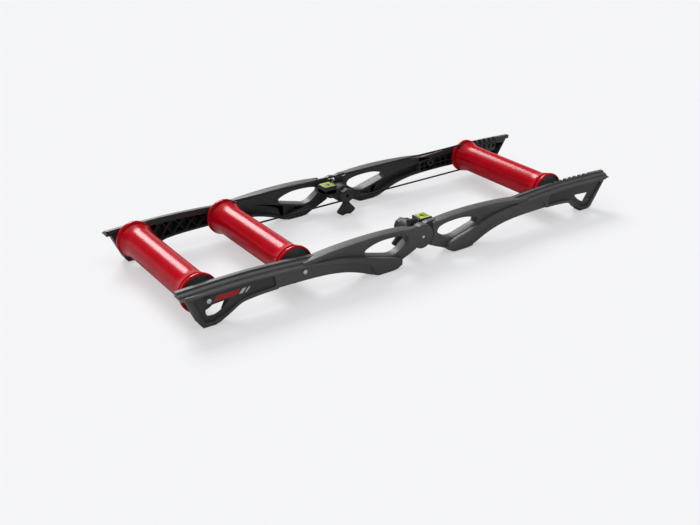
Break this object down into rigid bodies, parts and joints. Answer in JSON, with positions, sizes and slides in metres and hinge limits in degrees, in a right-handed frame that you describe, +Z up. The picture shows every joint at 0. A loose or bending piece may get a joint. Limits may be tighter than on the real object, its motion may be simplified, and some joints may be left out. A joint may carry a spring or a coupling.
{
  "type": "bike rollers",
  "caption": "Folding bike rollers: waisted drums on axles between two moulded rails, a belt to the front drum, and a lockable fold at the middle.",
  "frame": {"origin": "on the floor, below the fold axis, midway between the rails", "axes": "+X towards the front drum along the length, +Y to the rider's left, +Z up from the floor"},
  "size_m": [1.4, 0.48, 0.125],
  "materials": {
    "moulding": "fine grained glass-filled plastic, charcoal",
    "dark_moulding": "smooth black plastic",
    "red_paint": "glossy deep red coat on the drums",
    "cap_grey": "satin grey-green plastic",
    "steel": "bright zinc-plated steel",
    "rubber": "matt black rubber",
    "label_green": "yellow-green label"
  },
  "bodies": {
    "rear_half": {"left_rear_rail": "moulding", "right_rear_rail": "moulding", "rear_axle": "steel", "middle_axle": "steel", "rear_left_axle_screw": "steel", "rear_right_axle_screw": "steel", "middle_left_axle_screw": "steel", "middle_right_axle_screw": "steel", "rear_left_end_foot_pad": "rubber", "rear_left_middle_foot_pad": "rubber", "rear_right_end_foot_pad": "rubber", "rear_right_middle_foot_pad": "rubber", "left_lock_housing": "dark_moulding", "left_hinge_pin": "steel", "left_latch_label": "label_green", "drive_belt": "rubber"},
    "front_half": {"left_front_rail": "moulding", "right_front_rail": "moulding", "front_axle": "steel", "front_left_end_foot_pad": "rubber", "front_left_middle_foot_pad": "rubber", "front_right_end_foot_pad": "rubber", "front_right_middle_foot_pad": "rubber", "right_lock_housing": "dark_moulding", "right_hinge_pin": "steel", "right_latch_label": "label_green"},
    "rear_roller": {"rear_drum": "red_paint", "rear_left_end_cap": "cap_grey", "rear_left_bearing": "steel", "rear_right_end_cap": "cap_grey", "rear_right_bearing": "steel"},
    "middle_roller": {"middle_drum": "red_paint", "middle_left_end_cap": "cap_grey", "middle_left_bearing": "steel", "middle_right_end_cap": "cap_grey", "middle_right_bearing": "steel"},
    "front_roller": {"front_drum": "red_paint", "front_left_end_cap": "cap_grey", "front_left_bearing": "steel", "front_right_end_cap": "cap_grey", "front_right_bearing": "steel"},
    "left_lever": {"left_lock_lever": "dark_moulding"},
    "right_lever": {"right_lock_lever": "dark_moulding"},
    "left_plunger": {"left_release_plunger": "steel"},
    "right_plunger": {"right_release_plunger": "steel"}
  },
  "joints": [
    {"name": "fold", "type": "hinge", "parent": "rear_half", "child": "front_half", "pos_m": [0, 0, 0.066], "axis": [0, -1, 0], "range_deg": [0, 90], "deforming": ["drive_belt"]},
    {"name": "rear_roller_spin", "type": "hinge", "parent": "rear_half", "child": "rear_roller", "pos_m": [-0.6314, 0, 0.069], "axis": [0, 1, 0], "continuous": true},
    {"name": "middle_roller_spin", "type": "hinge", "parent": "rear_half", "child": "middle_roller", "pos_m": [-0.371, 0, 0.07], "axis": [0, 1, 0], "continuous": true},
    {"name": "front_roller_spin", "type": "hinge", "parent": "front_half", "child": "front_roller", "pos_m": [0.4942, 0, 0.075], "axis": [0, 1, 0], "continuous": true},
    {"name": "left_lock_lever", "type": "hinge", "parent": "rear_half", "child": "left_lever", "pos_m": [0, 0.132, 0.066], "axis": [0, -1, 0], "range_deg": [0, 90]},
    {"name": "right_lock_lever", "type": "hinge", "parent": "front_half", "child": "right_lever", "pos_m": [0, -0.132, 0.066], "axis": [0, 1, 0], "range_deg": [0, 90]},
    {"name": "left_release_plunger", "type": "slide", "parent": "rear_half", "child": "left_plunger", "axis": [1, 0, 0], "range_m": [0, 0.005], "stiffness_N_per_m": 400, "springref_m": -0.004},
    {"name": "right_release_plunger", "type": "slide", "parent": "front_half", "child": "right_plunger", "axis": [-1, 0, 0], "range_m": [0, 0.005], "stiffness_N_per_m": 400, "springref_m": -0.004}
  ],
  "couplings": [
    {"joint": "front_roller_spin", "follows": "middle_roller_spin", "ratio": 1}
  ]
}
